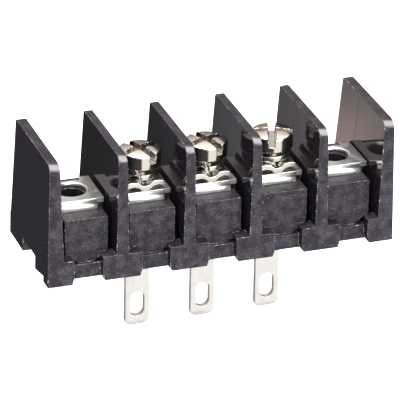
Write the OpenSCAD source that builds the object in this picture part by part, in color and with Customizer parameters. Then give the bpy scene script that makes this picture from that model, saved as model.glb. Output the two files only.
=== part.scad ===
// Barrier terminal strip: a moulded housing with tall barriers, three screw ways
// with solder lugs, and a plain end way at each side for the fixing screws.
// Origin: midway between the two fixing holes, on the mounting face.
// +X along the strip, -Y the front where the wires come in, +Z up. Millimetres.

/* [Strip] */
// Distance from one way to the next
pitch = 13; // [12.8:0.1:14]
// Depth from the front of the feet to the line of the fixing holes
front_depth = 11.7; // [11.5:0.1:12.3]
// Depth of the moulding at its foot, front to back
base_depth = 24.8; // [24.4:0.1:26]

/* [Barriers] */
// Height of the barriers above the mounting face
barrier_h = 24.7; // [24.2:0.1:27]
// Depth of a barrier along its top edge
barrier_top_depth = 21.9; // [20.5:0.1:22.4]
// Thickness of an inner barrier at the mounting face
barrier_root_t = 2.65; // [2.4:0.05:2.9]
// Thickness of an inner barrier at its top edge
barrier_tip_t = 1.65; // [1.4:0.05:1.9]
// Thickness of an end barrier at the mounting face
end_root_t = 3.3; // [3.0:0.05:3.4]
// Thickness of an end barrier at its top edge
end_tip_t = 1.95; // [1.7:0.05:2.2]
// Lean of an end barrier's outer face from foot to top
end_draft = 0.5; // [0.3:0.05:0.7]
// How far an end barrier's outer face stands beyond its pitch line
end_out = 1.48; // [1.4:0.02:1.6]
// Setback of the barriers from the edge of the rear ledge
back_step = 0.3; // [0.2:0.05:0.5]
// Radius of the front top corner
corner_front_r = 2.1; // [1.5:0.1:2.6]
// Radius of the back top corner
corner_back_r = 0.7; // [0.4:0.1:1.2]

/* [Base] */
// Height of the rear ledge
rear_h = 4.55; // [4.3:0.05:5]
// Depth of the rear foot
rear_foot = 8.6; // [8:0.1:9]
// Height of the raised underside between the feet
under_h = 2.7; // [2.4:0.1:3]
// Where the raised underside starts behind the front
under_y = 8.4; // [8:0.1:8.8]
// Height of the low front wall
wall_h = 3.1; // [2.9:0.05:3.4]
// Setback of the low front wall behind the feet
wall_y = 1.9; // [1.6:0.1:2.2]
// Gap between the low front wall and the mounting face
wall_lift = 0.2; // [0.1:0.05:0.4]
// Height of the relief just behind the front feet
relief_h = 1.1; // [0.8:0.1:1.4]
// Length of the level lip behind that relief
relief_lip = 0.4; // [0.3:0.05:0.6]
// Thickness of the floor under the screw ways
floor_t = 1.5; // [1.2:0.1:1.8]

/* [Feet] */
// Height of a front foot
foot_h = 4.9; // [4.6:0.1:5.2]
// Depth of a front foot
foot_d = 3.1; // [2.8:0.1:3.4]
// How far a front foot stands out at each side of its barrier
foot_out = 2.47; // [2.3:0.05:2.6]
// Taper at the bottom of a foot, each side
foot_taper = 0.37; // [0.2:0.01:0.5]
// Height of that taper
foot_taper_h = 1.2; // [1:0.1:1.5]
// Distance an end foot reaches in from the outer face
end_foot_w = 5.15; // [4.9:0.05:5.3]

/* [Pedestals] */
// Width of the slots beside a pedestal, at its foot
ped_slot = 0.78; // [0.7:0.02:0.95]
// Setback of a pedestal behind the feet
ped_y = 2.6; // [2.4:0.1:2.9]
// Height of the ledge in front of a plate
ledge_z = 11.9; // [11.7:0.05:12.0]
// Height of the seat under a plate
seat_z = 12.75; // [12.6:0.05:13]
// Width of the cut at each lower corner
ped_cut_w = 2.6; // [2.3:0.1:2.9]
// Height of that cut
ped_cut_h = 2.1; // [1.9:0.1:2.4]
// Depth of the slots beside a pedestal, from the front of the feet
slot_end_y = 9; // [8.8:0.1:9.2]
// Back face of the block under the plates, from the front of the feet
block_end_y = 18.2; // [18.1:0.1:18.6]
// Radius of the fixing holes through the moulding
fix_r = 2.6; // [2.4:0.05:2.65]
// Radius of the boss round a fixing hole under the base
boss_r = 4.6; // [4.2:0.1:5]

/* [Plates] */
// Thickness of the sheet the plates and lugs are cut from
sheet_t = 1.0; // [0.9:0.05:1.05]
// Room between a plate and the nearest barrier
plate_gap = 0.22; // [0.15:0.01:0.35]
// Distance from the hole line to a plate's front edge
plate_front = 4.9; // [4.8:0.05:5]
// Distance from the hole line to a plate's back edge
plate_back = 4.8; // [4.7:0.05:4.9]
// Width of the shoulder at each side of the front tongue
tongue_in = 1.4; // [1.2:0.05:1.6]
// How far the tongue stands in front of the plate
tongue_out = 0.8; // [0.7:0.05:0.9]
// Outer radius of a bend
bend_r = 1.4; // [1.3:0.05:1.6]
// Radius of the hole in an end plate
end_hole_r = 2.84; // [2.8:0.02:2.9]
// Chamfer round that hole
end_hole_c = 0.3; // [0.2:0.05:0.4]
// Depth of the back leg on an end plate
end_leg = 4; // [3.5:0.1:4.4]
// Width of the relief cuts beside a back leg
leg_cut = 0.5; // [0.3:0.05:0.7]

/* [Lugs] */
// Width of a solder lug
lug_w = 4.7; // [4.4:0.1:4.9]
// How far a lug reaches below the mounting face
lug_drop = 16.35; // [15:0.05:17]
// Corner radius at the tip of a lug
lug_r = 1.5; // [1.2:0.1:2]
// Depth of the coined chamfer at the tip, front and back
tip_c = 0.3; // [0.15:0.05:0.4]
// Height of that chamfer
tip_h = 0.9; // [0.6:0.1:1.2]
// Width of the wire slot in a lug
lug_slot_w = 2.8; // [2.5:0.1:3]
// Length of the wire slot
lug_slot_l = 5.1; // [4.7:0.1:5.4]
// Top of the wire slot below the mounting face
lug_slot_top = 9.3; // [9:0.1:9.6]
// Height of the lug's forward step inside the housing
step_z = 5.5; // [5.3:0.1:5.8]

/* [Screws] */
// Distance of the screws in front of the fixing hole line
screw_off = 1.3; // [1.2:0.05:1.4]
// Radius of the screw shank
shank_r = 2.0; // [1.9:0.05:2.0]
// Running clearance of the shank in its tapped collar
shank_clear = 0.05; // [0.03:0.01:0.09]
// Length of the shank under the head
shank_len = 9.6; // [9.3:0.1:10]
// Radius of the head
head_r = 4.0; // [3.8:0.05:4.1]
// Height of the head's straight side
head_side = 2.55; // [2.4:0.05:2.7]
// Radius of the rim round the top of the head
head_rim = 0.4; // [0.3:0.05:0.6]
// Rise of the head's shallow dome
head_dome = 0.35; // [0.2:0.05:0.5]
// Width of the cross slots at the top
slot_w = 1.5; // [1.3:0.05:1.6]
// Width of their floor
slot_floor_w = 1.1; // [0.9:0.05:1.2]
// Height of the slot floor above the underside of the head
slot_floor = 1.2; // [1.1:0.05:1.5]
// Radius of the collar drawn down from a plate
collar_r = 2.9; // [2.8:0.05:3]
// Depth of that collar below the plate
collar_h = 1.4; // [1.2:0.1:1.6]

/* [Washers] */
// Distance of a clamp washer's sides inside the plate's edges
clamp_in = 1.1; // [0.9:0.05:1.3]
// Depth of a clamp washer, front to back
clamp_d = 7.8; // [7.6:0.1:8]
// Thickness of a clamp washer
clamp_t = 1.2; // [1.1:0.05:1.3]
// Lift of a clamp washer's wings above the plate
clamp_lift = 0.9; // [0.8:0.05:1.0]
// Width of the flat at the bottom of the groove
groove_w = 1.1; // [0.9:0.1:1.3]
// Width of the groove between the wings
groove_top_w = 2.9; // [2.6:0.1:3.2]
// Arch under a wing
wing_arch = 0.22; // [0.1:0.02:0.3]
// Drop of the wing tips
wing_drop = 0.45; // [0.3:0.05:0.6]
// Clearance round the shank in the washers
washer_clear = 0.2; // [0.15:0.05:0.3]
// Thickness of a spring washer
spring_t = 1.1; // [1:0.05:1.2]
// Rise of a spring washer over one turn
spring_rise = 1.05; // [0.95:0.05:1.15]
// Outer radius of a spring washer
spring_r = 3.7; // [3.6:0.05:3.8]
// Gap left between parts that only touch at a point
touch = 0.02; // [0.01:0.01:0.04]

/* [Fits] */
// Clearance of a lug in its slot through the base
lug_clear = 0.12; // [0.08:0.01:0.2]
// Clearance of an end plate's leg in its pocket
leg_clear = 0.1; // [0.05:0.01:0.2]
// Room behind the bend of a tongue
tongue_clear = 0.1; // [0.05:0.01:0.2]
// Room round a terminal's leg and collar inside the housing
cav_clear = 0.3; // [0.2:0.05:0.5]

/* [Hidden] */
$fn = 96;
eps = 0.01;
y0 = -front_depth;
y_rear = y0 + base_depth;
half_l = 2.5 * pitch + end_out;
ways = [-2, -1, 0, 1, 2];
inner_bars = [-1.5, -0.5, 0.5, 1.5];
y_top_back = y0 + barrier_top_depth;
lean = (base_depth - back_step - barrier_top_depth) / (barrier_h - rear_h);
corner_in = 90 + atan(lean);
back_t = corner_back_r / tan(corner_in / 2);
plate_z = seat_z + sheet_t;
bar_seat_t = barrier_root_t - (barrier_root_t - barrier_tip_t) * seat_z / barrier_h;
end_seat_t = end_root_t - (end_root_t - end_draft - end_tip_t) * plate_z / barrier_h;
plate_w = pitch + 2 * min(-bar_seat_t / 2, end_out - end_seat_t) - 2 * plate_gap;
tongue_w = plate_w - 2 * tongue_in;
clamp_w = plate_w - 2 * clamp_in;
foot_w = barrier_root_t + 2 * foot_out;
rail_in = end_draft * rear_h / barrier_h + eps;
foot_in = end_draft * foot_h / barrier_h + eps;
seat_front = -plate_front - tongue_out + bend_r + tongue_clear;
screw_turns = [21, 20, -19];
spring_turns = [250, 256, 180];
in_r = bend_r - sheet_t;
tongue_y = -plate_front - tongue_out;
screw_y = -screw_off;
clamp_wing_z = plate_z + clamp_lift;
spring_z = clamp_wing_z + clamp_t;
head_z = spring_z + spring_t + spring_rise + touch;
head_h = head_side + head_rim + head_dome;
tap_r = shank_r + shank_clear;
washer_r = shank_r + washer_clear;
ped_back = y0 + slot_end_y;
block_back = y0 + block_end_y;
cav_w = lug_w + 2 * cav_clear;
cav_front = screw_y - collar_r - cav_clear;
cav_back = plate_back + cav_clear;
floor_z = under_h + floor_t;

// ---------------------------------------------------------------- helpers

// A side profile given as (y, z) points, run along X from x1 to x2.
module along_x(x1, x2) {
    translate([x1, 0, 0])
        rotate([90, 0, 90])
            linear_extrude(height = x2 - x1)
                children();
}

// A front profile given as (x, z) points, run along Y from y1 to y2.
module along_y(y1, y2) {
    translate([0, y2, 0])
        rotate([90, 0, 0])
            linear_extrude(height = y2 - y1)
                children();
}

// ---------------------------------------------------------------- housing

module barrier_side() {
    zc = barrier_h - corner_front_r;
    yc = y_top_back - back_t;
    foot_back = y_top_back + lean * (barrier_h - rear_h);
    difference() {
        polygon([
            [y0, 0],
            [y_rear, 0],
            [y_rear, rear_h],
            [foot_back, rear_h],
            [y_top_back + lean * back_t * cos(atan(lean)), barrier_h - back_t * cos(atan(lean))],
            [yc, barrier_h],
            [y0 + corner_front_r, barrier_h],
            [y0, zc]
        ]);
        polygon([
            [y0 + foot_d, -1],
            [y0 + foot_d, relief_h],
            [y0 + under_y - relief_lip, wall_lift],
            [y0 + under_y, wall_lift],
            [y0 + under_y, under_h],
            [y_rear - rear_foot, under_h],
            [y_rear - rear_foot, -1]
        ]);
    }
    translate([y0 + corner_front_r, zc])
        circle(r = corner_front_r);
    translate([yc, barrier_h - corner_back_r])
        circle(r = corner_back_r);
}

module inner_barriers() {
    intersection() {
        along_x(-half_l, half_l)
            barrier_side();
        along_y(y0 - 1, y_rear + 1)
            for (i = inner_bars)
                translate([i * pitch, 0])
                    polygon([
                        [-barrier_root_t / 2, -1],
                        [barrier_root_t / 2, -1],
                        [barrier_root_t / 2, 0],
                        [barrier_tip_t / 2, barrier_h],
                        [-barrier_tip_t / 2, barrier_h],
                        [-barrier_root_t / 2, 0]
                    ]);
    }
}

module end_barrier() {
    intersection() {
        along_x(0, half_l + 1)
            barrier_side();
        along_y(y0 - 1, y_rear + 1)
            polygon([
                [half_l - end_root_t, -1],
                [half_l, -1],
                [half_l, 0],
                [half_l - end_draft, barrier_h],
                [half_l - end_draft - end_tip_t, barrier_h],
                [half_l - end_root_t, 0]
            ]);
    }
}

module base_rail() {
    along_x(-half_l + rail_in, half_l - rail_in)
        polygon([
            [y0 + wall_y, wall_lift],
            [y0 + foot_d, wall_lift],
            [y0 + foot_d, relief_h],
            [y0 + under_y - relief_lip, wall_lift],
            [y0 + under_y, wall_lift],
            [y0 + under_y, under_h],
            [y_rear - rear_foot, under_h],
            [y_rear - rear_foot, 0],
            [y_rear, 0],
            [y_rear, rear_h],
            [ped_back, rear_h],
            [ped_back, wall_h],
            [y0 + wall_y, wall_h]
        ]);
}

module foot() {
    along_y(y0, y0 + foot_d)
        polygon([
            [-foot_w / 2 + foot_taper, 0],
            [foot_w / 2 - foot_taper, 0],
            [foot_w / 2, foot_taper_h],
            [foot_w / 2, foot_h],
            [-foot_w / 2, foot_h],
            [-foot_w / 2, foot_taper_h]
        ]);
}

module end_foot() {
    along_y(y0, y0 + foot_d)
        polygon([
            [half_l - end_foot_w + foot_taper, 0],
            [half_l - foot_in, 0],
            [half_l - foot_in, foot_h],
            [half_l - end_foot_w, foot_h],
            [half_l - end_foot_w, foot_taper_h]
        ]);
}

// Left side of a way's pedestal, one slot away from the foot of its barrier.
function ped_left(way) =
    ped_slot + (way == ways[0] ? end_root_t - half_l : (way - 0.5) * pitch + barrier_root_t / 2);

module pedestal(way) {
    x1 = ped_left(way);
    x2 = -ped_left(-way);
    along_y(y0 + ped_y, ped_back + eps)
        polygon([
            [x1 + ped_cut_w, wall_h - eps],
            [x2 - ped_cut_w, wall_h - eps],
            [x2, wall_h + ped_cut_h],
            [x2, ledge_z],
            [x1, ledge_z],
            [x1, wall_h + ped_cut_h]
        ]);
    translate([x1, seat_front, wall_h + ped_cut_h])
        cube([x2 - x1, ped_back - seat_front + eps, seat_z - wall_h - ped_cut_h]);
}

module block() {
    translate([-half_l + end_root_t / 2, ped_back, wall_h - eps])
        cube([2 * half_l - end_root_t, block_back - ped_back, seat_z - wall_h + eps]);
}

module screw_way_cavity() {
    translate([-cav_w / 2, cav_front, floor_z])
        cube([cav_w, cav_back - cav_front, seat_z - floor_z + 1]);
    translate([0, screw_y, floor_z])
        cylinder(r = collar_r + cav_clear, h = seat_z - floor_z + 1);
    translate([-lug_w / 2 - lug_clear, -sheet_t / 2 - lug_clear, under_h - 1])
        cube([lug_w + 2 * lug_clear, sheet_t + 2 * lug_clear, floor_z - under_h + 2]);
}

module end_way_cavity() {
    translate([0, 0, -1])
        cylinder(r = fix_r, h = seat_z + 2);
    translate([-lug_w / 2 - leg_clear, plate_back - bend_r - leg_clear, plate_z - end_leg - leg_clear])
        cube([lug_w + 2 * leg_clear, bend_r + 2 * leg_clear, end_leg + 1]);
}

module housing() {
    color([0.07, 0.07, 0.075])
        difference() {
            union() {
                inner_barriers();
                end_barrier();
                mirror([1, 0, 0])
                    end_barrier();
                base_rail();
                for (i = inner_bars)
                    translate([i * pitch, 0, 0])
                        foot();
                end_foot();
                mirror([1, 0, 0])
                    end_foot();
                for (i = ways)
                    pedestal(i);
                block();
                for (i = [-2, 2])
                    translate([i * pitch, 0, 0])
                        cylinder(r = boss_r, h = under_h + 0.5);
            }
            for (i = [-1, 0, 1])
                translate([i * pitch, 0, 0])
                    screw_way_cavity();
            for (i = [-2, 2])
                translate([i * pitch, 0, 0])
                    end_way_cavity();
        }
}

// ---------------------------------------------------------------- plates

// Bent-down front tongue, as a side profile.
module tongue_side() {
    difference() {
        union() {
            translate([tongue_y + bend_r, seat_z])
                square([plate_front + tongue_out - bend_r + 1, sheet_t]);
            translate([tongue_y, ledge_z])
                square([sheet_t, plate_z - bend_r - ledge_z]);
            intersection() {
                translate([tongue_y + bend_r, plate_z - bend_r])
                    circle(r = bend_r);
                translate([tongue_y, plate_z - bend_r])
                    square([bend_r, bend_r]);
            }
        }
        translate([tongue_y + bend_r, plate_z - bend_r])
            circle(r = in_r);
    }
}

// Back leg of depth d, as a side profile.
module leg_side(d) {
    difference() {
        union() {
            translate([plate_back - bend_r - 1, seat_z])
                square([1, sheet_t]);
            translate([plate_back - sheet_t, plate_z - d])
                square([sheet_t, d - bend_r]);
            intersection() {
                translate([plate_back - bend_r, plate_z - bend_r])
                    circle(r = bend_r);
                translate([plate_back - bend_r, plate_z - bend_r])
                    square([bend_r, bend_r]);
            }
        }
        translate([plate_back - bend_r, plate_z - bend_r])
            circle(r = in_r);
    }
}

// Forward step and drop that carries the solder lug, as a side profile.
module step_side() {
    yb = plate_back;
    yl = sheet_t / 2;
    difference() {
        union() {
            translate([yb - sheet_t, step_z + bend_r])
                square([sheet_t, plate_z - bend_r - step_z - bend_r]);
            intersection() {
                translate([yb - bend_r, step_z + bend_r])
                    circle(r = bend_r);
                translate([yb - bend_r, step_z])
                    square([bend_r, bend_r]);
            }
            translate([yl - sheet_t + bend_r, step_z])
                square([yb - yl + sheet_t - 2 * bend_r, sheet_t]);
            intersection() {
                translate([yl - sheet_t + bend_r, step_z + sheet_t - bend_r])
                    circle(r = bend_r);
                translate([yl - sheet_t, step_z + sheet_t - bend_r])
                    square([bend_r, bend_r]);
            }
            translate([yl - sheet_t, -1])
                square([sheet_t, step_z + sheet_t - bend_r + 1]);
        }
        translate([yb - bend_r, step_z + bend_r])
            circle(r = in_r);
        translate([yl - sheet_t + bend_r, step_z + sheet_t - bend_r])
            circle(r = in_r);
    }
}

module plate_outline() {
    difference() {
        translate([-plate_w / 2, -plate_front, seat_z])
            cube([plate_w, plate_front + plate_back, sheet_t]);
        for (s = [-1, 1])
            translate([s * (lug_w + leg_cut) / 2 - leg_cut / 2, plate_back - bend_r - eps, seat_z - 1])
                cube([leg_cut, bend_r + 1, sheet_t + 2]);
        translate([-lug_w / 2, plate_back - bend_r, seat_z - 1])
            cube([lug_w, bend_r + 1, sheet_t + 2]);
    }
}

module plate_sheet() {
    plate_outline();
    along_x(-tongue_w / 2, tongue_w / 2)
        tongue_side();
    along_x(-lug_w / 2, lug_w / 2)
        leg_side(end_leg);
}

module terminal(i) {
    color([0.86, 0.85, 0.83])
        translate([i * pitch, 0, 0])
            difference() {
                union() {
                    plate_sheet();
                    along_x(-lug_w / 2, lug_w / 2)
                        step_side();
                    intersection() {
                        along_y(-sheet_t / 2, sheet_t / 2)
                            lug_front();
                        along_x(-lug_w / 2, lug_w / 2)
                            lug_side();
                    }
                    translate([0, screw_y, seat_z - collar_h])
                        cylinder(r = collar_r, h = collar_h + sheet_t / 2);
                }
                translate([0, screw_y, seat_z - collar_h - 1])
                    cylinder(r = tap_r, h = collar_h + sheet_t + 2);
            }
}

// Lug from the side, with its coined tip.
module lug_side() {
    t = sheet_t / 2;
    polygon([
        [-t + tip_c, -lug_drop],
        [t - tip_c, -lug_drop],
        [t, -lug_drop + tip_h],
        [t, 0],
        [-t, 0],
        [-t, -lug_drop + tip_h]
    ]);
}

module lug_front() {
    difference() {
        union() {
            translate([-lug_w / 2, -lug_drop + lug_r])
                square([lug_w, lug_drop]);
            translate([-lug_w / 2 + lug_r, -lug_drop])
                square([lug_w - 2 * lug_r, lug_r + 1]);
            for (s = [-1, 1])
                translate([s * (lug_w / 2 - lug_r), -lug_drop + lug_r])
                    circle(r = lug_r);
        }
        translate([0, -lug_slot_top - lug_slot_w / 2])
            circle(r = lug_slot_w / 2);
        translate([0, -lug_slot_top - lug_slot_l + lug_slot_w / 2])
            circle(r = lug_slot_w / 2);
        translate([-lug_slot_w / 2, -lug_slot_top - lug_slot_l + lug_slot_w / 2])
            square([lug_slot_w, lug_slot_l - lug_slot_w]);
    }
}

module end_plate(i) {
    color([0.86, 0.85, 0.83])
        translate([i * pitch, 0, 0])
            difference() {
                plate_sheet();
                translate([0, 0, seat_z - 1])
                    cylinder(r = end_hole_r, h = sheet_t + 2);
                translate([0, 0, plate_z - end_hole_c])
                    cylinder(r1 = end_hole_r, r2 = end_hole_r + 2 * end_hole_c, h = 2 * end_hole_c);
            }
}

// ---------------------------------------------------------------- washers

// Front profile of the clamp washer: a groove on the plate between two arched wings.
module clamp_front() {
    w = clamp_w / 2;
    g = groove_w / 2;
    s = groove_top_w / 2;
    m = (s + w) / 2 - 0.25;
    half = [
        [g, plate_z + touch],
        [s, clamp_wing_z],
        [m, clamp_wing_z + wing_arch],
        [w - wing_drop, clamp_wing_z],
        [w, clamp_wing_z - wing_drop],
        [w, clamp_wing_z - wing_drop + 0.8 * clamp_t],
        [w - wing_drop, clamp_wing_z + 0.9 * clamp_t],
        [m, clamp_wing_z + clamp_t],
        [s - 0.1, clamp_wing_z + 0.9 * clamp_t],
        [g - 0.1, plate_z + clamp_t]
    ];
    n = len(half) - 1;
    polygon(concat(half, [for (k = [n : -1 : 0]) [-half[k][0], half[k][1]]]));
}

module clamp_washer(i) {
    color([0.80, 0.79, 0.76])
        translate([i * pitch, 0, 0])
            difference() {
                along_y(screw_y - clamp_d / 2, screw_y + clamp_d / 2)
                    clamp_front();
                translate([0, screw_y, plate_z - 1])
                    cylinder(r = washer_r, h = 6);
            }
}

// Spring washer: one turn of square wire that rises from end to end.
module spring_washer(i, turn) {
    n = 60;
    gap = 7;
    span = 360 - gap;
    ri = washer_r;
    pts = [for (k = [0 : n]) let (a = gap / 2 + span * k / n, z = spring_rise * k / n)
        each [
            [ri * cos(a), ri * sin(a), z],
            [spring_r * cos(a), spring_r * sin(a), z],
            [spring_r * cos(a), spring_r * sin(a), z + spring_t],
            [ri * cos(a), ri * sin(a), z + spring_t]
        ]];
    sides = [for (k = [0 : n - 1]) for (j = [0 : 3])
        let (p = 4 * k + j, q = 4 * k + (j + 1) % 4)
        each [[p, p + 4, q], [q, p + 4, q + 4]]];
    ends = [[0, 1, 2], [0, 2, 3], [4 * n + 2, 4 * n + 1, 4 * n], [4 * n + 3, 4 * n + 2, 4 * n]];
    color([0.78, 0.77, 0.75])
        translate([i * pitch, screw_y, spring_z])
            rotate([0, 0, turn])
                polyhedron(points = pts, faces = concat(sides, ends), convexity = 4);
}

// ---------------------------------------------------------------- screws

// Half of the head's profile: straight side, rounded rim and shallow dome.
module head_profile() {
    flat_r = head_r - head_rim;
    dome_r = (flat_r * flat_r + head_dome * head_dome) / (2 * head_dome);
    square([flat_r, head_side + head_rim]);
    square([head_r, head_side]);
    intersection() {
        translate([flat_r, head_side])
            circle(r = head_rim);
        square([head_r, head_h]);
    }
    intersection() {
        translate([0, head_h - dome_r])
            circle(r = dome_r, $fn = 720);
        translate([0, head_side])
            square([flat_r, head_h]);
    }
}

// Section of one arm of the cross, wider at the top.
module slot_section() {
    polygon([
        [-slot_floor_w / 2, slot_floor],
        [slot_floor_w / 2, slot_floor],
        [slot_w / 2, head_h],
        [slot_w / 2, head_h + 1],
        [-slot_w / 2, head_h + 1],
        [-slot_w / 2, head_h]
    ]);
}

module screw(i, turn) {
    color([0.82, 0.80, 0.77])
        translate([i * pitch, screw_y, head_z])
            rotate([0, 0, turn]) {
                difference() {
                    rotate_extrude()
                        head_profile();
                    for (a = [0, 90])
                        rotate([0, 0, a])
                            along_y(-head_r - 1, head_r + 1)
                                slot_section();
                }
                translate([0, 0, -shank_len])
                    cylinder(r = shank_r, h = shank_len + 1);
                translate([0, 0, -shank_len - 0.6])
                    cylinder(r1 = shank_r - 0.6, r2 = shank_r, h = 0.6);
            }
}

// ---------------------------------------------------------------- nodes

module terminal_1() {
    terminal(-1);
}

module terminal_2() {
    terminal(0);
}

module terminal_3() {
    terminal(1);
}

module end_plate_left() {
    end_plate(-2);
}

module end_plate_right() {
    end_plate(2);
}

module clamp_washer_1() {
    clamp_washer(-1);
}

module clamp_washer_2() {
    clamp_washer(0);
}

module clamp_washer_3() {
    clamp_washer(1);
}

module spring_washer_1() {
    spring_washer(-1, spring_turns[0]);
}

module spring_washer_2() {
    spring_washer(0, spring_turns[1]);
}

module spring_washer_3() {
    spring_washer(1, spring_turns[2]);
}

module screw_1() {
    screw(-1, screw_turns[0]);
}

module screw_2() {
    screw(0, screw_turns[1]);
}

module screw_3() {
    screw(1, screw_turns[2]);
}

housing();
terminal_1();
terminal_2();
terminal_3();
end_plate_left();
end_plate_right();
clamp_washer_1();
clamp_washer_2();
clamp_washer_3();
spring_washer_1();
spring_washer_2();
spring_washer_3();
screw_1();
screw_2();
screw_3();
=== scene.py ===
"""Dresses the barrier terminal strip: housing, tinned plates and lugs, plated screws and washers."""

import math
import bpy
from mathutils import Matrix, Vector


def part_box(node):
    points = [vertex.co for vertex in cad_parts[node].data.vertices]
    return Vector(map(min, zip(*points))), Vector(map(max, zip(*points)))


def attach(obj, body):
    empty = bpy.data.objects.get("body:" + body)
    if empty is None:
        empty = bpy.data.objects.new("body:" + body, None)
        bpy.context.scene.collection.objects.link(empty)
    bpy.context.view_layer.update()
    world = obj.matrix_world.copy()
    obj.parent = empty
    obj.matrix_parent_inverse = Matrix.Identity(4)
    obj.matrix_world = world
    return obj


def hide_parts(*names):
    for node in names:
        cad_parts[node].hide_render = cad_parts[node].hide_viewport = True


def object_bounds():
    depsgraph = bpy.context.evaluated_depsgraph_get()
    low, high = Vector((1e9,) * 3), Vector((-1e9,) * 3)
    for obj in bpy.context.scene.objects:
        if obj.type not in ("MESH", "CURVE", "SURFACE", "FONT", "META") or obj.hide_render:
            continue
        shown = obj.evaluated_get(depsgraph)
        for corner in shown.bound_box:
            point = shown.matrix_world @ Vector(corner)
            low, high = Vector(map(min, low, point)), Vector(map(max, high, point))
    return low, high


bl_info = {
    "name": "Barrier terminal strip",
    "version": (1, 0, 0),
    "blender": (4, 5, 0),
    "location": "View3D > Sidebar > Terminal Strip",
    "description": "Finishes a three way barrier terminal strip with solder lugs",
    "category": "Object",
}

import bmesh
import bpy
from bpy.props import FloatProperty, FloatVectorProperty, PointerProperty
from mathutils import Matrix, Vector

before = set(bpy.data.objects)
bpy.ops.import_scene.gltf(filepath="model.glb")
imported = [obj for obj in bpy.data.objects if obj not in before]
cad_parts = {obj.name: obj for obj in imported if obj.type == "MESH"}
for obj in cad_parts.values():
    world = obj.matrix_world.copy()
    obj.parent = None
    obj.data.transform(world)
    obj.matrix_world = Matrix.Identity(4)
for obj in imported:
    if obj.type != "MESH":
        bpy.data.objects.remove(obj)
CAD_BOX = [list(corner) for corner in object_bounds()]

MM = 0.001
WAYS = (1, 2, 3)
ENDS = ("left", "right")
STRIP = "strip"
PLASTIC_IOR = 1.5


# ---------------------------------------------------------------- sizes and colours


def length(name, default, description):
    """A size in millimetres that a user may change."""
    return FloatProperty(
        name=name, description=description, default=default, min=0.0, precision=3
    )


def share(name, default, description):
    """A value from 0 to 1, such as a roughness."""
    return FloatProperty(
        name=name, description=description, default=default, min=0.0, max=1.0,
        subtype="FACTOR",
    )


def colour(name, default, description):
    """A linear colour."""
    return FloatVectorProperty(
        name=name, description=description, default=default, size=3, min=0.0,
        max=1.0, subtype="COLOR",
    )


class MouldingSettings(bpy.types.PropertyGroup):
    """The black moulding of the strip."""

    edge: length("Edge radius", 0.1, "Rounding left by the mould on each edge, mm")
    tone: colour("Tone", (0.0180, 0.0155, 0.0205), "Colour of the plastic")
    fleck: colour("Fleck", (0.13, 0.12, 0.125), "Colour of the pale filler flecks")
    # this pale colour marks worn edges, and is also painted as a highlight on the front top corners
    # and along the moulding's edges
    wear_and_highlight: colour("Worn edge", (0.44, 0.40, 0.43), "Colour of a rubbed edge")
    grain: length("Grain size", 0.13, "Size of the spark grain on the front, mm")
    grain_depth: length("Grain depth", 0.04, "Depth of the spark grain, mm")
    polish: share("Polished roughness", 0.07, "Roughness of the drawn side walls")
    textured: share("Textured roughness", 0.46, "Roughness of the grained faces")
    sheen: share("Sheen", 0.2, "Strength of the plastic's reflection")
    line_back: length("Witness line", 8.8, "Line of the mould insert to the rear edge, mm")
    line_width: length("Line width", 0.24, "Width of the witness line, mm")
    line_depth: length("Line depth", 0.12, "Depth of the witness line, mm")


class PlateSettings(bpy.types.PropertyGroup):
    """The tinned plates and lugs."""

    edge: length("Edge radius", 0.09, "Rolled edge of the sheared sheet, mm")
    tone: colour("Tone", (0.80, 0.785, 0.76), "Colour of the tin")
    dull: colour("Dull tone", (0.63, 0.60, 0.56), "Colour of the dull patches")
    roughness: share("Roughness", 0.34, "Roughness of the satin tin")


class ScrewSettings(bpy.types.PropertyGroup):
    """The cross-slotted clamp screws."""

    edge: length("Edge radius", 0.09, "Rounding of the slots' edges, mm")
    tone: colour("Tone", (0.80, 0.76, 0.71), "Colour of the nickel")
    roughness: share("Roughness", 0.12, "Roughness of the bright plating")
    head: length("Head height", 3.3, "Height of the head, mm")
    rim: length("Rim radius", 0.4, "Rounding round the top of the head, mm")
    dome: length("Dome", 0.35, "Rise of the head's shallow dome, mm")
    foot: length("Foot radius", 0.3, "Rounding round the foot of the head, mm")
    slot: length("Slot width", 1.5, "Width of the cross slots at the top, mm")
    slot_floor: length("Slot floor", 1.1, "Width of the floor of the slots, mm")
    slot_depth: length("Slot depth", 2.1, "Depth of the slots from the dome, mm")
    major: length("Major diameter", 3.98, "Outside diameter of the thread, mm")
    minor: length("Minor diameter", 3.14, "Root diameter of the thread, mm")
    lead: length("Thread pitch", 0.7, "Distance between threads, mm")
    chamfer: length("Tip chamfer", 0.6, "Chamfer on the end of the shank, mm")


class WasherSettings(bpy.types.PropertyGroup):
    """The clamp washers and the split spring washers."""

    edge: length("Edge radius", 0.14, "Rounding of a clamp washer's edges, mm")
    gap: FloatProperty(
        name="Split", description="Opening of a spring washer",
        default=math.radians(7.0), subtype="ANGLE", unit="ROTATION",
    )
    thickness: length("Thickness", 1.1, "Thickness of a spring washer, mm")
    bore: length("Bore", 2.2, "Radius of a washer's hole, mm")
    corner: length("Corner radius", 0.2, "Rounding of a spring washer's wire, mm")
    tone: colour("Tone", (0.78, 0.76, 0.72), "Colour of the zinc plating")
    roughness: share("Roughness", 0.24, "Roughness of the plating")


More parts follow.
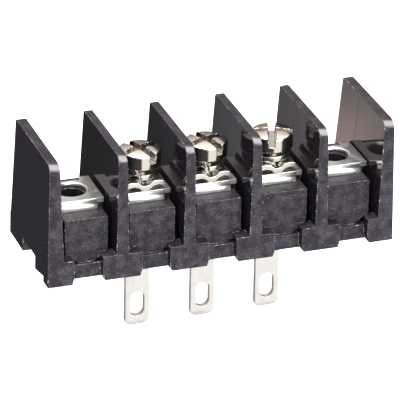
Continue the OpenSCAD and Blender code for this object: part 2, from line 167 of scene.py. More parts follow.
class StageSettings(bpy.types.PropertyGroup):
    """Camera, floor and light."""

    azimuth: FloatProperty(
        name="Azimuth", description="Camera to the left of the front",
        default=math.radians(19.391), subtype="ANGLE", unit="ROTATION",
    )
    elevation: FloatProperty(
        name="Elevation", description="Camera above the horizon",
        default=math.radians(25.86), subtype="ANGLE", unit="ROTATION",
    )
    roll: FloatProperty(
        name="Roll", description="Turn of the camera about its own axis",
        default=math.radians(0.91), subtype="ANGLE", unit="ROTATION",
    )
    distance: length("Distance", 681.0, "Camera to the point it aims at, mm")
    aim: FloatVectorProperty(
        name="Aim", description="Point the camera aims at, from the strip's middle, mm",
        default=(-1.225, -2.555, 4.661), size=3,
    )
    lens: FloatProperty(
        name="Lens", description="Focal length, mm", default=327.4, min=1.0
    )
    floor: colour("Floor", (0.90, 0.90, 0.90), "Colour of the floor")


# ---------------------------------------------------------------- node helpers


def add_node(tree, kind, inputs=None, **settings):
    """A node of the tree with its settings, and its input values or links by name."""
    made = tree.nodes.new(kind)
    for key, value in settings.items():
        setattr(made, key, value)
    for key, value in (inputs or {}).items():
        socket = made.inputs[key]
        if isinstance(value, bpy.types.NodeSocket):
            tree.links.new(value, socket)
        else:
            socket.default_value = value
    return made


def maths(tree, operation, *values, clamp=False):
    """The result of a Math node."""
    made = add_node(
        tree, "ShaderNodeMath", dict(enumerate(values)), operation=operation,
        use_clamp=clamp,
    )
    return made.outputs[0]


def ramp(tree, value, low, high, out_low=0.0, out_high=1.0):
    """A smooth step of value from low to high."""
    made = add_node(
        tree, "ShaderNodeMapRange",
        {"Value": value, "From Min": low, "From Max": high, "To Min": out_low,
         "To Max": out_high},
        interpolation_type="SMOOTHSTEP",
    )
    return made.outputs["Result"]


def blend(tree, factor, a, b):
    """Colour a where factor is 0 and colour b where it is 1."""
    made = add_node(tree, "ShaderNodeMix", data_type="RGBA")
    for index, value in ((0, factor), (6, a), (7, b)):
        if isinstance(value, bpy.types.NodeSocket):
            tree.links.new(value, made.inputs[index])
        elif index == 0:
            made.inputs[index].default_value = value
        else:
            made.inputs[index].default_value = (*value[:3], 1.0)
    return made.outputs[2]


def new_group(name, inputs, outputs):
    """An empty shader node group with float and vector inputs and float outputs."""
    tree = bpy.data.node_groups.new(name, "ShaderNodeTree")
    for key, default in inputs.items():
        kind = "NodeSocketVector" if default is None else "NodeSocketFloat"
        socket = tree.interface.new_socket(key, in_out="INPUT", socket_type=kind)
        if default is not None:
            socket.default_value = default
    for key in outputs:
        tree.interface.new_socket(key, in_out="OUTPUT", socket_type="NodeSocketFloat")
    start = tree.nodes.new("NodeGroupInput")
    end = tree.nodes.new("NodeGroupOutput")
    return tree, start.outputs, end.inputs


def noise(tree, vector, scale, detail=2.0, roughness=0.5):
    """A noise value about 0.5."""
    made = add_node(
        tree, "ShaderNodeTexNoise",
        {"Vector": vector, "Scale": scale, "Detail": detail, "Roughness": roughness},
    )
    return made.outputs["Fac"]


def spark_grain_group():
    """Grain left by a spark-eroded mould, with sparse pale flecks of filler."""
    tree, given, out = new_group(
        "Spark grain",
        {"Vector": None, "Size": 0.0002, "Flecks": 0.5},
        ("Height", "Fleck", "Mottle"),
    )
    link = tree.links.new
    scale = maths(tree, "DIVIDE", 1.0, given["Size"])
    fine = noise(tree, given["Vector"], scale, 3.0, 0.6)
    coarse = noise(tree, given["Vector"], maths(tree, "MULTIPLY", scale, 0.07), 2.0)
    cells = add_node(
        tree, "ShaderNodeTexVoronoi",
        {"Vector": given["Vector"], "Scale": maths(tree, "MULTIPLY", scale, 0.55),
         "Randomness": 1.0},
        feature="F1",
    )
    spot = ramp(tree, cells.outputs["Distance"], 0.34, 0.20)
    pick = add_node(tree, "ShaderNodeSeparateColor", {"Color": cells.outputs["Color"]})
    # few flecks where the mottle is low and more where it is high
    few = maths(tree, "SUBTRACT", 1.0, maths(
        tree, "MULTIPLY", given["Flecks"], ramp(tree, coarse, 0.40, 0.62, 0.35, 1.0)))
    kept = maths(tree, "GREATER_THAN", pick.outputs[0], few)
    link(maths(tree, "ADD", fine, maths(tree, "MULTIPLY", spot, 0.25)), out["Height"])
    link(maths(tree, "MULTIPLY", spot, kept), out["Fleck"])
    link(coarse, out["Mottle"])
    return tree


def edge_wear_and_highlight_group():
    """Broken mask along an edge: wear on the tin, and on the moulding wear together with painted
    highlight lines.
    """
    tree, given, out = new_group(
        "Edge wear and highlight", {"Vector": None, "Length": 0.0006, "Cover": 0.5}, ("Mask",)
    )
    scale = maths(tree, "DIVIDE", 1.0, given["Length"])
    broken = noise(tree, given["Vector"], scale, 4.0, 0.65)
    low = maths(tree, "SUBTRACT", 0.70, maths(tree, "MULTIPLY", given["Cover"], 0.4))
    made = add_node(
        tree, "ShaderNodeMapRange",
        {"Value": broken, "From Min": low,
         "From Max": maths(tree, "ADD", low, 0.14)},
        interpolation_type="SMOOTHSTEP",
    )
    tree.links.new(made.outputs["Result"], out["Mask"])
    return tree


def fine_scratches_group():
    """Hairlines in two crossing directions, and cloudy patches."""
    tree, given, out = new_group(
        "Fine scratches", {"Vector": None, "Spacing": 0.0003}, ("Lines", "Cloud")
    )
    scale = maths(tree, "DIVIDE", 1.0, given["Spacing"])
    lines = None
    for turn, squeeze in ((0.35, 0.05), (-0.8, 0.08)):
        turned = add_node(
            tree, "ShaderNodeMapping",
            {"Vector": given["Vector"], "Rotation": (0.0, 0.0, turn),
             "Scale": (squeeze, 1.0, 1.0)},
        )
        fine = noise(tree, turned.outputs["Vector"], scale, 2.0, 0.7)
        line = ramp(tree, fine, 0.58, 0.70)
        lines = line if lines is None else maths(tree, "MAXIMUM", lines, line)
    cloud = noise(tree, given["Vector"], maths(tree, "MULTIPLY", scale, 0.12), 3.0)
    tree.links.new(lines, out["Lines"])
    tree.links.new(cloud, out["Cloud"])
    return tree


def group(name):
    """The named node group, built the first time it is asked for."""
    makers = {
        "Spark grain": spark_grain_group,
        "Edge wear and highlight": edge_wear_and_highlight_group,
        "Fine scratches": fine_scratches_group,
    }
    return bpy.data.node_groups.get(name) or makers[name]()


def place_group(tree, name, inputs):
    """A group node in a material, with its own values."""
    made = add_node(tree, "ShaderNodeGroup", node_tree=group(name))
    for key, value in inputs.items():
        if isinstance(value, bpy.types.NodeSocket):
            tree.links.new(value, made.inputs[key])
        else:
            made.inputs[key].default_value = value
    return made.outputs


def new_material(name):
    """A material with its Principled shader and the object's own coordinates."""
    made = bpy.data.materials.new(name)
    made.use_nodes = True
    tree = made.node_tree
    shader = tree.nodes["Principled BSDF"]
    place = tree.nodes.new("ShaderNodeTexCoord")
    return made, tree, shader, place


def set_bump(tree, shader, height, depth):
    """Feeds a height in metres to the shader's normal."""
    made = add_node(
        tree, "ShaderNodeBump", {"Height": height, "Strength": 1.0, "Distance": depth}
    )
    tree.links.new(made.outputs["Normal"], shader.inputs["Normal"])


def feed(tree, shader, **sockets):
    """Links or sets the shader's sockets, by name with _ for a space."""
    for key, value in sockets.items():
        socket = shader.inputs[key.replace("_", " ")]
        if isinstance(value, bpy.types.NodeSocket):
            tree.links.new(value, socket)
        elif isinstance(value, (tuple, list)) and len(value) == 3:
            socket.default_value = (*value, 1.0)
        else:
            socket.default_value = value


# ---------------------------------------------------------------- materials


def moulding_face(settings):
    """Black thermoplastic: grained front and top faces, drawn side walls left glossy."""
    made, tree, shader, place = new_material("Moulding face")
    grain = place_group(
        tree, "Spark grain",
        {"Vector": place.outputs["Object"], "Size": settings.grain * MM, "Flecks": 0.62},
    )
    facing = add_node(
        tree, "ShaderNodeSeparateXYZ", {"Vector": place.outputs["Normal"]}
    )
    side = ramp(tree, maths(tree, "ABSOLUTE", facing.outputs["X"]), 0.88, 0.97)
    open_face = maths(tree, "SUBTRACT", 1.0, side)
    level = ramp(tree, facing.outputs["Z"], 0.8, 0.95)
    # painted highlight on the front top corners: faces that look to the front and up get a paler
    # colour and a lower roughness
    highlit_corner = maths(tree, "MULTIPLY", ramp(tree, facing.outputs["Y"], -0.35, -0.60),
                   ramp(tree, facing.outputs["Z"], 0.35, 0.60))
    base = moulding_tone(tree, settings, grain, side, open_face, highlit_corner)
    rough = maths(tree, "ADD", maths(tree, "MULTIPLY", side, settings.polish),
                  maths(tree, "MULTIPLY", open_face, settings.textured))
    smoother_level, smoother_highlit_corner = 0.10, 0.22
    for mask, smoother in ((level, smoother_level), (highlit_corner, smoother_highlit_corner)):
        rough = maths(tree, "SUBTRACT", rough, maths(tree, "MULTIPLY", mask, smoother))
    feed(tree, shader, Base_Color=base, Roughness=rough, IOR=PLASTIC_IOR,
         Specular_IOR_Level=settings.sheen)
    set_bump(tree, shader, maths(tree, "MULTIPLY", grain["Height"], open_face),
             settings.grain_depth * MM)
    return made


def moulding_tone(tree, settings, grain, side, open_face, highlit_corner):
    """Mottled black with pale flecks on the open faces, plain on the side walls."""
    tone = tuple(settings.tone)

    def times(share_of_tone):
        return [c * share_of_tone for c in tone]

    base = blend(tree, ramp(tree, grain["Mottle"], 0.35, 0.68), times(0.7), times(1.9))
    peaks = maths(tree, "MULTIPLY", ramp(tree, grain["Height"], 0.52, 0.80), 0.5)
    base = blend(tree, peaks, base, times(5.0))
    base = blend(tree, side, base, times(0.62))
    # painted highlight: the front top corners are blended toward the pale edge colour
    base = blend(tree, maths(tree, "MULTIPLY", highlit_corner, 0.6), base, tuple(settings.wear_and_highlight))
    fleck = maths(tree, "MULTIPLY", grain["Fleck"], open_face)
    return blend(tree, fleck, base, tuple(settings.fleck))


def moulding_edge(settings):
    """The same plastic on its rounded edges, pale in broken lines that are partly wear and partly a
    painted highlight.
    """
    made, tree, shader, place = new_material("Moulding edge")
    wear_and_highlight = place_group(
        tree, "Edge wear and highlight",
        {"Vector": place.outputs["Object"], "Length": 0.0007, "Cover": 0.44},
    )["Mask"]
    grain = place_group(
        tree, "Spark grain",
        {"Vector": place.outputs["Object"], "Size": settings.grain * MM, "Flecks": 0.5},
    )
    # pale broken lines on the edges: partly wear, partly painted highlight
    base = blend(tree, wear_and_highlight, [c * 1.7 for c in settings.tone], tuple(settings.wear_and_highlight))
    feed(tree, shader, Base_Color=base, IOR=PLASTIC_IOR,
         Roughness=ramp(tree, wear_and_highlight, 0.0, 1.0, 0.34, 0.55))
    set_bump(tree, shader, grain["Height"], 0.00003)
    return made


def tinned_sheet(settings):
    """Satin tin over brass, with hairlines and dull clouds."""
    made, tree, shader, place = new_material("Tinned sheet")
    marks = place_group(
        tree, "Fine scratches",
        {"Vector": place.outputs["Object"], "Spacing": 0.00022},
    )
    cloud = ramp(tree, marks["Cloud"], 0.42, 0.68)
    base = blend(tree, maths(tree, "MULTIPLY", cloud, 0.5),
                 tuple(settings.tone), tuple(settings.dull))
    rough = maths(tree, "ADD", settings.roughness,
                  maths(tree, "MULTIPLY", maths(tree, "SUBTRACT", cloud, 0.4), 0.14))
    feed(tree, shader, Base_Color=base, Metallic=1.0, Roughness=rough)
    set_bump(tree, shader, marks["Lines"], 0.000006)
    return made


def tinned_edge(settings):
    """The sheared and rolled edge of the sheet."""
    made, tree, shader, place = new_material("Tinned edge")
    wear_and_highlight = place_group(
        tree, "Edge wear and highlight",
        {"Vector": place.outputs["Object"], "Length": 0.0005, "Cover": 0.5},
    )["Mask"]
    base = blend(tree, wear_and_highlight, [c * 0.9 for c in settings.tone], (0.90, 0.89, 0.87))
    feed(tree, shader, Base_Color=base, Metallic=1.0,
         Roughness=ramp(tree, wear_and_highlight, 0.0, 1.0, 0.36, 0.24))
    return made


def plated_steel(name, tone, roughness, spacing):
    """Bright plated steel with hairlines."""
    made, tree, shader, place = new_material(name)
    marks = place_group(
        tree, "Fine scratches", {"Vector": place.outputs["Object"], "Spacing": spacing}
    )
    tone = tuple(tone)
    base = blend(tree, maths(tree, "MULTIPLY", marks["Cloud"], 0.5), tone,
                 (tone[0] * 0.86, tone[1] * 0.82, tone[2] * 0.76))
    rough = maths(tree, "ADD", roughness,
                  maths(tree, "MULTIPLY", marks["Lines"], 0.12))
    feed(tree, shader, Base_Color=base, Metallic=1.0, Roughness=rough)
    set_bump(tree, shader, marks["Lines"], 0.000004)
    return made


# ---------------------------------------------------------------- mesh helpers


def clean_mesh(mesh, weld=1e-6, flat=math.radians(0.5)):
    """Joins the triangles of a solid back into its flat faces."""
    work = bmesh.new()
    work.from_mesh(mesh)
    bmesh.ops.remove_doubles(work, verts=work.verts, dist=weld)
    bmesh.ops.dissolve_limit(
        work, angle_limit=flat, verts=work.verts, edges=work.edges
    )
    for face in work.faces:
        face.smooth = True
    work.to_mesh(mesh)
    work.free()


def link_object(name, mesh, materials):
    """An object with that mesh, its materials in order."""
    mesh.materials.clear()
    for material in materials:
        mesh.materials.append(material)
    made = bpy.data.objects.new(name, mesh)
    bpy.context.scene.collection.objects.link(made)
    return made


def round_edges(piece, width, segments=2, angle=28, edge_material=-1):
    """Rounds every edge sharper than the angle, and keeps the flats flat."""
    made = piece.modifiers.new("Rounded edges", "BEVEL")
    made.width = width
    made.segments = segments
    made.limit_method = "ANGLE"
    made.angle_limit = math.radians(angle)
    made.use_clamp_overlap = False
    made.harden_normals = True
    made.miter_outer = "MITER_ARC"
    made.material = edge_material
    return made


def settle(piece):
    """Applies a piece's modifiers."""
    bpy.context.view_layer.update()
    evaluated = piece.evaluated_get(bpy.context.evaluated_depsgraph_get())
    mesh = bpy.data.meshes.new_from_object(evaluated)
    piece.modifiers.clear()
    piece.data = mesh


def keep_flat(mesh, area=4e-6):
    """Gives the flats their own normal at every corner, so that they mirror evenly."""
    normals = [corner.vector.copy() for corner in mesh.corner_normals]
    for face in mesh.polygons:
        square = max(abs(part) for part in face.normal) > 0.9995
        if square or face.area > area:
            for corner in face.loop_indices:
                normals[corner] = face.normal
    mesh.normals_split_custom_set(normals)


def finish_piece(piece, node, body):
    """Puts the piece in the place of its CAD node."""
    piece.data.name = piece.name
    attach(piece, body)
    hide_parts(node)


def rounded_copy(name, node, body, width, materials, segments=2, angle=28):
    """The CAD node's own shape with its edges rounded."""
    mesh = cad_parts[node].data.copy()
    clean_mesh(mesh)
    piece = link_object(name, mesh, materials)
    round_edges(piece, width, segments, angle, len(materials) - 1)
    settle(piece)
    keep_flat(piece.data)
    finish_piece(piece, node, body)
    return piece


def lathe(outline, sides):
    """A solid turned about Z from (radius, height) points that start and end on the axis."""
    work = bmesh.new()
    rings = []
    for radius, height in outline:
        if radius < 1e-9:
            rings.append([work.verts.new((0.0, 0.0, height))])
            continue
        rings.append([
            work.verts.new((radius * math.cos(a), radius * math.sin(a), height))
            for a in (2 * math.pi * k / sides for k in range(sides))
        ])
    skin(work, rings, sides)
    return work


def skin(work, rings, sides):
    """Faces between rings of vertices; a ring of one vertex closes an end."""
    for low, high in zip(rings, rings[1:]):
        for k in range(sides):
            m = (k + 1) % sides
            if len(low) == 1:
                work.faces.new((low[0], high[m], high[k]))
            elif len(high) == 1:
                work.faces.new((low[k], low[m], high[0]))
            else:
                work.faces.new((low[k], low[m], high[m], high[k]))
    for face in work.faces:
        face.smooth = True


def arc(centre, radius, start, end, steps):
    """Points of an arc, angles in degrees."""
    return [
        (centre[0] + radius * math.cos(a), centre[1] + radius * math.sin(a))
        for a in (math.radians(start + (end - start) * k / steps)
                  for k in range(steps + 1))
    ]


def cut(piece, cutter):
    """Takes the cutter's shape out of the piece."""
    made = piece.modifiers.new("Cut", "BOOLEAN")
    made.operation = "DIFFERENCE"
    made.solver = "EXACT"
    made.object = cutter
    settle(piece)
    bpy.data.objects.remove(cutter)


def from_bmesh(name, work, materials):
    """An object made from a bmesh."""
    bmesh.ops.recalc_face_normals(work, faces=work.faces)
    mesh = bpy.data.meshes.new(name)
    work.to_mesh(mesh)
    work.free()
    return link_object(name, mesh, materials)


# ---------------------------------------------------------------- operators


class STRIP_OT_stage(bpy.types.Operator):
    """Makes the camera, the floor and the soft studio light."""

    bl_idname = "strip.stage"
    bl_label = "Stage"

    def execute(self, context):
        settings = context.scene.strip_stage
        self.camera(context, settings)
        self.floor(settings)
        self.world(context)
        self.softboxes()
        context.scene.view_settings.view_transform = "Standard"
        return {"FINISHED"}

    def camera(self, context, settings):
        """A long lens from the front left, a little above."""
        low, high = (Vector(corner) for corner in CAD_BOX)
        middle = (low + high) / 2
        aim = middle + Vector(settings.aim) * MM
        az, el = settings.azimuth, settings.elevation
        ahead = Vector(
            (math.sin(az) * math.cos(el), math.cos(az) * math.cos(el), -math.sin(el))
        )
        right = ahead.cross(Vector((0, 0, 1))).normalized()
        up = right.cross(ahead)
        c, s = math.cos(settings.roll), math.sin(settings.roll)
        right, up = right * c + up * s, up * c - right * s
        turn = Matrix((right, up, -ahead)).transposed().to_4x4()
        data = bpy.data.cameras.new("Camera")
        data.lens = settings.lens
        data.sensor_width = 36.0
        data.clip_start, data.clip_end = 0.01, 10.0
        camera = bpy.data.objects.new("Camera", data)
        camera.matrix_world = Matrix.Translation(
            aim - ahead * settings.distance * MM
        ) @ turn
        context.scene.collection.objects.link(camera)
        context.scene.camera = camera

    def floor(self, settings):
        """A plain pale floor under the tips of the lugs."""
        half, z = 0.8, CAD_BOX[0][2]
        work = bmesh.new()
        bmesh.ops.create_grid(work, x_segments=8, y_segments=8, size=half)
        bmesh.ops.translate(work, verts=work.verts, vec=(0, 0, z))
        mesh = bpy.data.meshes.new("Floor")
        work.to_mesh(mesh)
        work.free()
        made, tree, shader, place = new_material("Floor")
        tone = noise(tree, place.outputs["Object"], 30.0)
        white = tuple(settings.floor)
        feed(tree, shader,
             Base_Color=blend(tree, tone, white, [c * 0.99 for c in white]),
             Roughness=0.9, Emission_Color=(1.0, 1.0, 1.0), Emission_Strength=0.75)
        floor = link_object("Floor", mesh, [made])
        floor.visible_glossy = False

    def world(self, context):
        """White to the eye, and to the metal a pale studio with a dark low rear."""
        world = bpy.data.worlds.new("Studio")
        context.scene.world = world
        world.use_nodes = True
        tree = world.node_tree
        place = tree.nodes.new("ShaderNodeTexCoord")
        axes = add_node(
            tree, "ShaderNodeSeparateXYZ", {"Vector": place.outputs["Generated"]}
        ).outputs
        left = maths(tree, "MULTIPLY", axes["X"], -1.0)
        # degrees from straight behind round to the left, and degrees above the horizon
        rear = maths(tree, "DEGREES", maths(tree, "ARCTAN2", left, axes["Y"]))
        rise = maths(tree, "DEGREES", maths(tree, "ARCSINE", axes["Z"]))
        shade = self.room(tree, axes["Y"], rear, rise)
        low = maths(tree, "MULTIPLY", ramp(tree, rise, -2.0, -14.0),
                    ramp(tree, axes["Y"], 0.05, 0.35))
        shade = blend(tree, low, shade, self.low_rear(tree, rear, rise))
        seen = tree.nodes.new("ShaderNodeLightPath").outputs["Is Camera Ray"]
        shade = blend(tree, seen, shade, (1.0, 1.0, 1.0))
        background = tree.nodes["Background"]
        tree.links.new(shade, background.inputs["Color"])

    def room(self, tree, depth, rear, rise):
        """Warm and dim at the horizon, brightest below the ceiling, pale in front."""
        warm_wall, pale_wall = (0.30, 0.25, 0.22), (0.66, 0.65, 0.64)
        lit_wall, ceiling = (1.35, 1.34, 1.33), (0.75, 0.74, 0.73)
        shade = blend(tree, ramp(tree, rise, 14.0, 24.0), warm_wall, pale_wall)
        shade = blend(tree, ramp(tree, rise, 30.0, 44.0), shade, lit_wall)
        shade = blend(tree, ramp(tree, rise, 60.0, 80.0), shade, ceiling)
        front = ramp(tree, depth, 0.20, -0.05)
        shade = blend(tree, front, shade, (1.10, 1.09, 1.08))
        # a dark stand in front, low down
        stand_bearing = 161.0
        beside = maths(tree, "ABSOLUTE", maths(tree, "SUBTRACT", rear, stand_bearing))
        stand = maths(tree, "MULTIPLY", ramp(tree, beside, 15.0, 11.0),
                      ramp(tree, rise, -2.0, -8.0))
        return blend(tree, stand, shade, (0.07, 0.05, 0.04))

    def low_rear(self, tree, rear, rise):
        """What the left walls mirror, from the first to the last: black, grey, warm."""
        black, grey, brown = (0.06, 0.06, 0.06), (0.46, 0.46, 0.48), (0.2, 0.17, 0.16)
        warm_top, warm_foot, warm_side = (1.3, 1.05, 0.99), (3.6, 2.5, 2.3), (1.1, 0.97, 0.95)
        shade = blend(tree, ramp(tree, rear, 20.40, 20.55), black, grey)
        warm = blend(tree, ramp(tree, rise, -22.55, -23.3), warm_top, warm_foot)
        warm = blend(tree, ramp(tree, rear, 23.55, 24.0), warm, warm_side)
        shade = blend(tree, ramp(tree, rear, 22.95, 23.10), shade, warm)
        return blend(tree, ramp(tree, rear, 24.6, 30.0), shade, brown)

    def softboxes(self):
        """Large soft lights above and in front."""
        middle = (Vector(CAD_BOX[0]) + Vector(CAD_BOX[1])) / 2
        for name, place, size, watts in (
            ("Overhead softbox", (-0.05, -0.02, 0.45), (0.30, 0.22), 2.2),
            ("Front softbox", (0.10, -0.55, 0.12), (0.50, 0.30), 2.0),
        ):
            data = bpy.data.lights.new(name, "AREA")
            data.shape = "RECTANGLE"
            data.size, data.size_y = size
            data.energy = watts
            light = bpy.data.objects.new(name, data)
            light.location = middle + Vector(place)
            light.rotation_euler = (-Vector(place)).to_track_quat("-Z", "Y").to_euler()
            light.visible_camera = False
            bpy.context.scene.collection.objects.link(light)


class STRIP_OT_housing(bpy.types.Operator):
    """Finishes the one-piece moulded housing."""

    bl_idname = "strip.housing"
    bl_label = "Housing"

    def execute(self, context):
        settings = context.scene.strip_moulding
        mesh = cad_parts["housing"].data.copy()
        clean_mesh(mesh)
        lines = self.witness_lines(settings, mesh)
        piece = link_object(
            "housing_moulding", mesh, [moulding_face(settings), moulding_edge(settings)]
        )
        round_edges(piece, settings.edge * MM, edge_material=1)
        settle(piece)
        cut(piece, lines)
        keep_flat(piece.data)
        finish_piece(piece, "housing", STRIP)
        return {"FINISHED"}

    def witness_lines(self, settings, mesh):
        """Cutter for the fine line that a mould insert left on the inner left walls."""
        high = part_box("housing")[1]
        seat = min(
            v.co.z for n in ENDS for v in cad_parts[f"end_plate_{n}"].data.vertices
        )
        wall_area, corner_reach = 100 * MM * MM, 1.0 * MM
        walls = sorted(
            (f for f in mesh.polygons if f.normal.x < -0.99 and f.area > wall_area),
            key=lambda face: face.center.x,
        )
        work = bmesh.new()
        half, depth = settings.line_width * MM / 2, settings.line_depth * MM
        # the first two walls show none
        for wall in walls[2:]:
            corners = [mesh.vertices[v].co for v in wall.vertices]
            foot = max(corners, key=lambda co: co.y)
            tip = max((co for co in corners if co.z > high.z - corner_reach),
                      key=lambda co: co.y)
            along = (tip - foot).normalized()
            across = wall.normal.cross(along) * half
            start = foot - Vector((0.0, settings.line_back * MM, 0.0))
            ends = []
            for z in (seat, high.z + corner_reach):
                at = start + along * ((z - start.z) / along.z)
                ends.append([
                    work.verts.new(at + across * side + wall.normal * level)
                    for side, level in ((-1, depth), (1, depth), (0, -depth))
                ])
            skin(work, ends, 3)
            for end in ends:
                work.faces.new(end)
        return from_bmesh("Witness lines", work, [])


class STRIP_OT_plates(bpy.types.Operator):
    """Finishes the three terminals with their lugs, and the two end plates."""

    bl_idname = "strip.plates"
    bl_label = "Plates and lugs"

    def execute(self, context):
        settings = context.scene.strip_plate
        materials = [tinned_sheet(settings), tinned_edge(settings)]
        nodes = [f"terminal_{n}" for n in WAYS] + [f"end_plate_{s}" for s in ENDS]
        for node in nodes:
            rounded_copy(
                f"{node}_tinned", node, STRIP, settings.edge * MM, materials
            )
        return {"FINISHED"}


class STRIP_OT_washers(bpy.types.Operator):
    """Finishes the grooved clamp washers and the split spring washers."""

    bl_idname = "strip.washers"
    bl_label = "Washers"

    def execute(self, context):
        settings = context.scene.strip_washer
        steel = plated_steel("Washer plating", settings.tone, settings.roughness, 0.0002)
        for n in WAYS:
            rounded_copy(
                f"clamp_washer_{n}_plated", f"clamp_washer_{n}", f"washers_{n}",
                settings.edge * MM, [steel], segments=3,
            )
            self.spring_washer(settings, n, steel)
        return {"FINISHED"}

    def spring_washer(self, settings, n, steel):
        """One turn of square wire with rounded corners, cut through and sprung open."""
        node = f"spring_washer_{n}"
        low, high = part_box(node)
        middle = (low + high) / 2
        radius = (high.x - low.x) / 2
        thick, bore = settings.thickness * MM, settings.bore * MM
        rise = high.z - low.z - thick
        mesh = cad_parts[node].data
        # the split is where the lowest end of the wire starts
        start = min(
            mesh.vertices,
            key=lambda v: (round(v.co.z, 6), -(v.co - middle).to_2d().length),
        ).co - middle
        turn = math.atan2(start.y, start.x)
        mean_radius, mid_height = (radius + bore) / 2, thick / 2
        section = self.wire(settings, (radius - bore) / 2, thick / 2)
        steps, sweep = 96, 2 * math.pi - settings.gap
        at_end, past_end = 0.985, 0.90
        work = bmesh.new()
        rings = []
        for k in range(-1, steps + 2):
            at = min(max(k / steps, 0.0), 1.0)
            # the cut ends are dressed, so the wire is a hair smaller there
            keep = 1.0 if 0 < k < steps else (at_end if k in (0, steps) else past_end)
            angle = turn + sweep * at
            rings.append([
                work.verts.new((
                    (mean_radius + out * keep) * math.cos(angle),
                    (mean_radius + out * keep) * math.sin(angle),
                    mid_height + up * keep + rise * at,
                ))
                for out, up in section
            ])
        skin(work, rings, len(section))
        for ring in (rings[0], rings[-1]):
            work.faces.new(ring)
        bmesh.ops.translate(
            work, verts=work.verts, vec=(middle.x, middle.y, low.z)
        )
        piece = from_bmesh(f"{node}_plated", work, [steel])
        finish_piece(piece, node, f"washers_{n}")

    def wire(self, settings, half_width, half_height):
        """The wire's square section with rounded corners, about its own middle."""
        corner = settings.corner * MM
        section = []
        for sx, sz, first in ((1, 1, 0), (-1, 1, 90), (-1, -1, 180), (1, -1, 270)):
            centre = (sx * (half_width - corner), sz * (half_height - corner))
            section += arc(centre, corner, first, first + 90, 4)
        return section


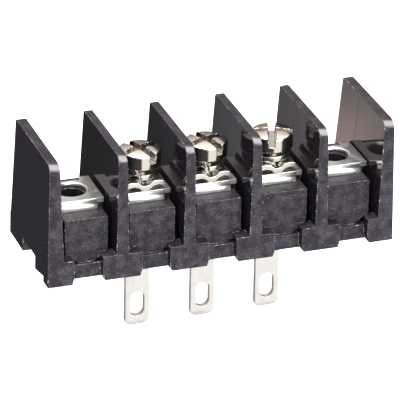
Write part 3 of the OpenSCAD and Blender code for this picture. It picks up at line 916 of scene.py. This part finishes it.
class STRIP_OT_screws(bpy.types.Operator):
    """Finishes the cross-slotted screws."""

    bl_idname = "strip.screws"
    bl_label = "Screws"

    def execute(self, context):
        settings = context.scene.strip_screw
        nickel = plated_steel("Screw nickel", settings.tone, settings.roughness, 0.00025)
        for n in WAYS:
            self.screw(settings, n, nickel)
        return {"FINISHED"}

    def screw(self, settings, n, nickel):
        """A pan head with a cross of slots, and a threaded shank."""
        node = f"screw_{n}"
        low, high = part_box(node)
        middle = (low + high) / 2
        radius = (high.x - low.x) / 2
        height = settings.head * MM
        head = from_bmesh(f"{node}_nickel", self.head(settings, radius), [nickel])
        turn = self.slot_turn(node, high.z - settings.slot_depth * MM, middle, radius)
        for angle in (turn, turn + math.pi / 2):
            cut(head, self.slot_cutter(settings, radius, height, angle))
        round_edges(head, settings.edge * MM, 3, 32)
        settle(head)
        work = bmesh.new()
        work.from_mesh(head.data)
        self.shank(work, settings, high.z - low.z - height)
        bmesh.ops.translate(
            work, verts=work.verts, vec=(middle.x, middle.y, high.z - height)
        )
        work.to_mesh(head.data)
        work.free()
        finish_piece(head, node, f"screw_body_{n}")

    def slot_turn(self, node, floor, middle, radius):
        """Angle of the slots, from the corners of the CAD head's slot floor at its rim."""
        level, at_rim = 0.1 * MM, radius * 0.98
        corners = [
            (v.co - middle).to_2d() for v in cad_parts[node].data.vertices
            if abs(v.co.z - floor) < level and (v.co - middle).to_2d().length > at_rim
        ]
        angles = [math.atan2(c.y, c.x) for c in corners]
        # four slots a quarter turn apart: average them on one quarter
        mean = math.atan2(sum(math.sin(4 * a) for a in angles),
                          sum(math.cos(4 * a) for a in angles))
        return mean / 4

    def head(self, settings, radius):
        """The turned head: rounded foot, straight side, rounded rim, shallow dome."""
        height, rim = settings.head * MM, settings.rim * MM
        dome, foot = settings.dome * MM, settings.foot * MM
        flat = radius - rim
        ball = (flat * flat + dome * dome) / (2 * dome)
        side = height - dome - rim - foot
        outline = [(0.0, 0.0), (radius * 0.5, 0.0)]
        outline += arc((radius - foot, foot), foot, -90, 0, 4)
        outline += [(radius, foot + side * k / 4) for k in (1, 2, 3)]
        outline += arc((flat, height - dome - rim), rim, 0, 80, 5)
        spread, steps = math.asin(flat / ball), 9
        for k in range(1, steps):
            a = spread * (1 - k / steps)
            outline.append((ball * math.sin(a), height - ball + ball * math.cos(a)))
        outline.append((0.0, height))
        return lathe(outline, sides=96)

    def slot_cutter(self, settings, radius, height, angle):
        """A bar with sloping sides along one slot of the cross."""
        top, floor = settings.slot * MM / 2, settings.slot_floor * MM / 2
        depth, reach = settings.slot_depth * MM, radius * 1.3
        over = top + (top - floor) * 0.5
        work = bmesh.new()
        ends = []
        for x in (-reach, reach):
            ends.append([
                work.verts.new((x, y, z)) for y, z in (
                    (-floor, height - depth), (floor, height - depth),
                    (over, height + depth * 0.5), (-over, height + depth * 0.5))
            ])
        skin(work, ends, 4)
        for end in ends:
            work.faces.new(end)
        bmesh.ops.rotate(work, verts=work.verts, matrix=Matrix.Rotation(angle, 3, "Z"))
        return from_bmesh("Slot cutter", work, [])

    def shank(self, work, settings, length_below):
        """A rolled thread under the head, ending in a chamfered tip."""
        major, minor = settings.major * MM / 2, settings.minor * MM / 2
        lead, sides, rows_per_turn = settings.lead * MM, 48, 12
        plain, chamfer = (major + minor) / 2, settings.chamfer * MM
        # the flanks' peak before it is cut flat, their slope, and the neck's length in turns
        crest, flank, neck_turns = 1.25, 3.0, 0.8
        rows = int(length_below / lead * rows_per_turn)
        rings = []
        for row in range(rows + 1):
            z = -length_below + length_below * row / rows
            from_head = -z / lead
            ring = []
            for k in range(sides):
                a = 2 * math.pi * k / sides
                phase = (z / lead - k / sides) % 1.0
                wave = min(max(crest - abs(phase - 0.5) * flank, 0.0), 1.0)
                r = minor + (major - minor) * wave
                # the thread runs out into the plain neck under the head
                fade = min(max(from_head - neck_turns, 0.0), 1.0)
                r = plain + (r - plain) * fade
                r = min(r, major - chamfer + (z + length_below) + lead * 0.1)
                ring.append(work.verts.new((r * math.cos(a), r * math.sin(a), z)))
            rings.append(ring)
        tip = work.verts.new((0.0, 0.0, -length_below))
        skin(work, [[tip], *rings, [work.verts.new((0.0, 0.0, 0.0))]], sides)


class STRIP_PT_panel(bpy.types.Panel):
    """Lists the parts of the strip."""

    bl_idname = "STRIP_PT_panel"
    bl_label = "Terminal Strip"
    bl_space_type = "VIEW_3D"
    bl_region_type = "UI"
    bl_category = "Terminal Strip"

    def draw(self, context):
        for operator in OPERATORS:
            self.layout.operator(operator.bl_idname)


SETTINGS = {
    "strip_moulding": MouldingSettings,
    "strip_plate": PlateSettings,
    "strip_screw": ScrewSettings,
    "strip_washer": WasherSettings,
    "strip_stage": StageSettings,
}
OPERATORS = (
    STRIP_OT_stage,
    STRIP_OT_housing,
    STRIP_OT_plates,
    STRIP_OT_washers,
    STRIP_OT_screws,
)


def register():
    for kind in (*SETTINGS.values(), *OPERATORS, STRIP_PT_panel):
        bpy.utils.register_class(kind)
    for key, kind in SETTINGS.items():
        setattr(bpy.types.Scene, key, PointerProperty(type=kind))


def unregister():
    for key in SETTINGS:
        delattr(bpy.types.Scene, key)
    for kind in (STRIP_PT_panel, *reversed(OPERATORS), *reversed(SETTINGS.values())):
        bpy.utils.unregister_class(kind)


def main():
    """Makes the stage and every piece."""
    register()
    for make in (bpy.ops.strip.stage, bpy.ops.strip.housing, bpy.ops.strip.plates,
                 bpy.ops.strip.washers, bpy.ops.strip.screws):
        make()


if __name__ == "__main__":
    main()
